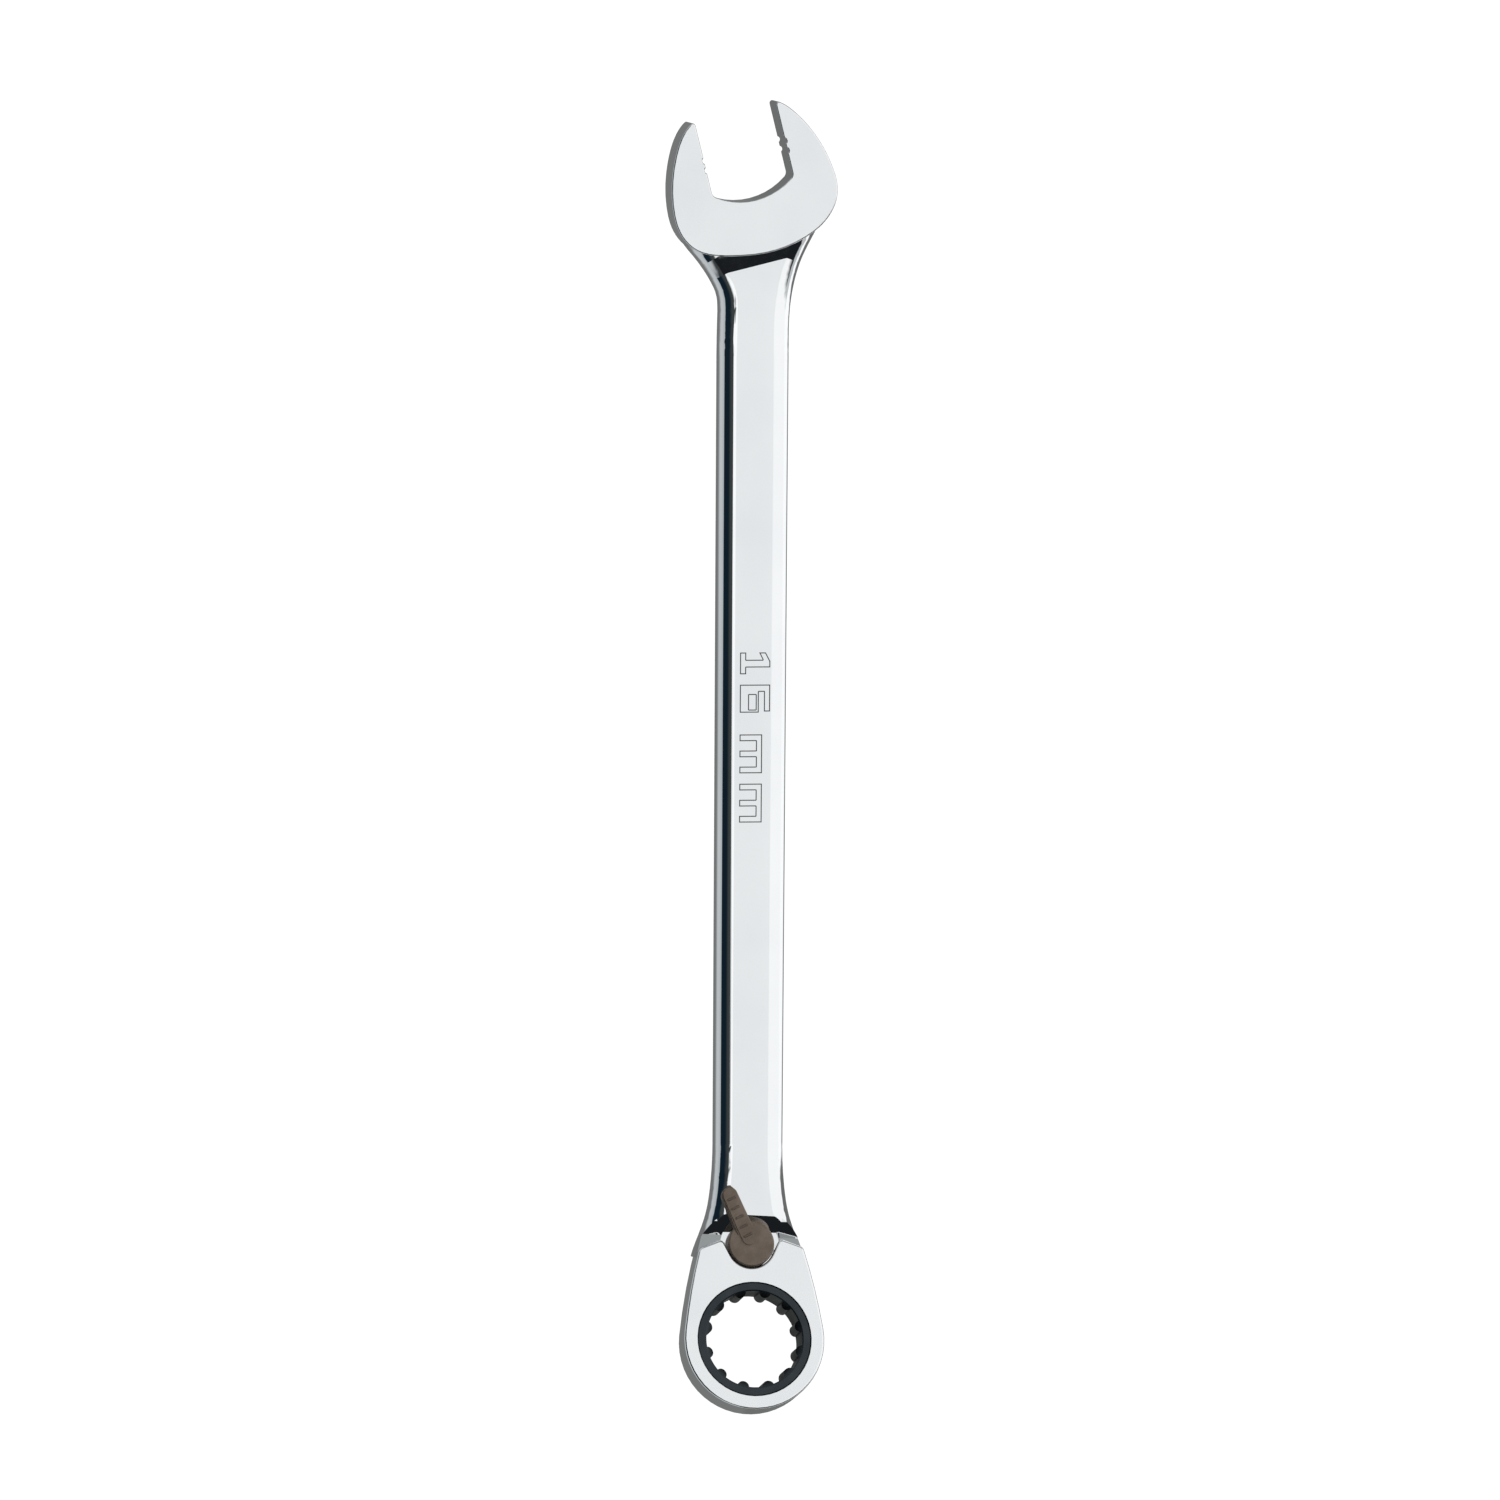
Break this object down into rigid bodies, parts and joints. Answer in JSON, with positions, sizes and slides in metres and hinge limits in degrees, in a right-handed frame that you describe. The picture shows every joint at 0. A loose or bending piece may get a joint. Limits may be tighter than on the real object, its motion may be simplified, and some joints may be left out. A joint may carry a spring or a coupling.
{
  "type": "combination wrench",
  "caption": "Reversible ratcheting combination wrench: a slanted open jaw at one end, an offset ratcheting ring with a small reversing lever at the other.",
  "frame": {"origin": "centre of the ratchet gear, on its axis midway between its two faces", "axes": "+Y along the shank to the open end, +Z the side that carries the reversing lever, +X to the right when that side is looked at with the open end up; the gear's axis leans 15 degrees from +Z towards +Y"},
  "size_m": [0.0322, 0.253, 0.0179],
  "materials": {
    "forging": "mirror-polished chrome plate on forged alloy steel",
    "dark_gear": "satin black oxide",
    "lever": "satin brown-bronze plating",
    "hardened_steel": "hardened, lightly oiled",
    "spring_steel": "dark spring temper"
  },
  "bodies": {
    "wrench": {"wrench_body": "forging", "gear_snap_ring": "spring_steel"},
    "gear": {"ratchet_gear": "dark_gear"},
    "pawl": {"pawl": "hardened_steel"},
    "lever": {"reversing_lever": "lever", "lever_retaining_clip": "spring_steel", "detent_spring": "spring_steel"},
    "plunger": {"detent_plunger": "hardened_steel"}
  },
  "joints": [
    {"name": "gear_spin", "type": "hinge", "parent": "wrench", "child": "gear", "pos_m": [0, 0, 0], "axis": [0, 0.2588, 0.9659], "continuous": true},
    {"name": "lever_swing", "type": "hinge", "parent": "wrench", "child": "lever", "pos_m": [0, 0.0179, -0.0048], "axis": [0, 0.2588, 0.9659], "range_deg": [-50, 0]},
    {"name": "pawl_rock", "type": "hinge", "parent": "wrench", "child": "pawl", "pos_m": [0, 0.01207, -0.00324], "axis": [0, 0.2588, 0.9659], "range_deg": [0, 10]},
    {"name": "plunger_press", "type": "slide", "parent": "lever", "child": "plunger", "axis": [-0.4226, 0.8754, -0.2346], "range_m": [0, 0.001], "stiffness_N_per_m": 300, "springref_m": -0.001, "deforming": ["detent_spring"]}
  ],
  "couplings": [
    {"joint": "pawl_rock", "follows": "lever_swing", "ratio": -0.2}
  ]
}
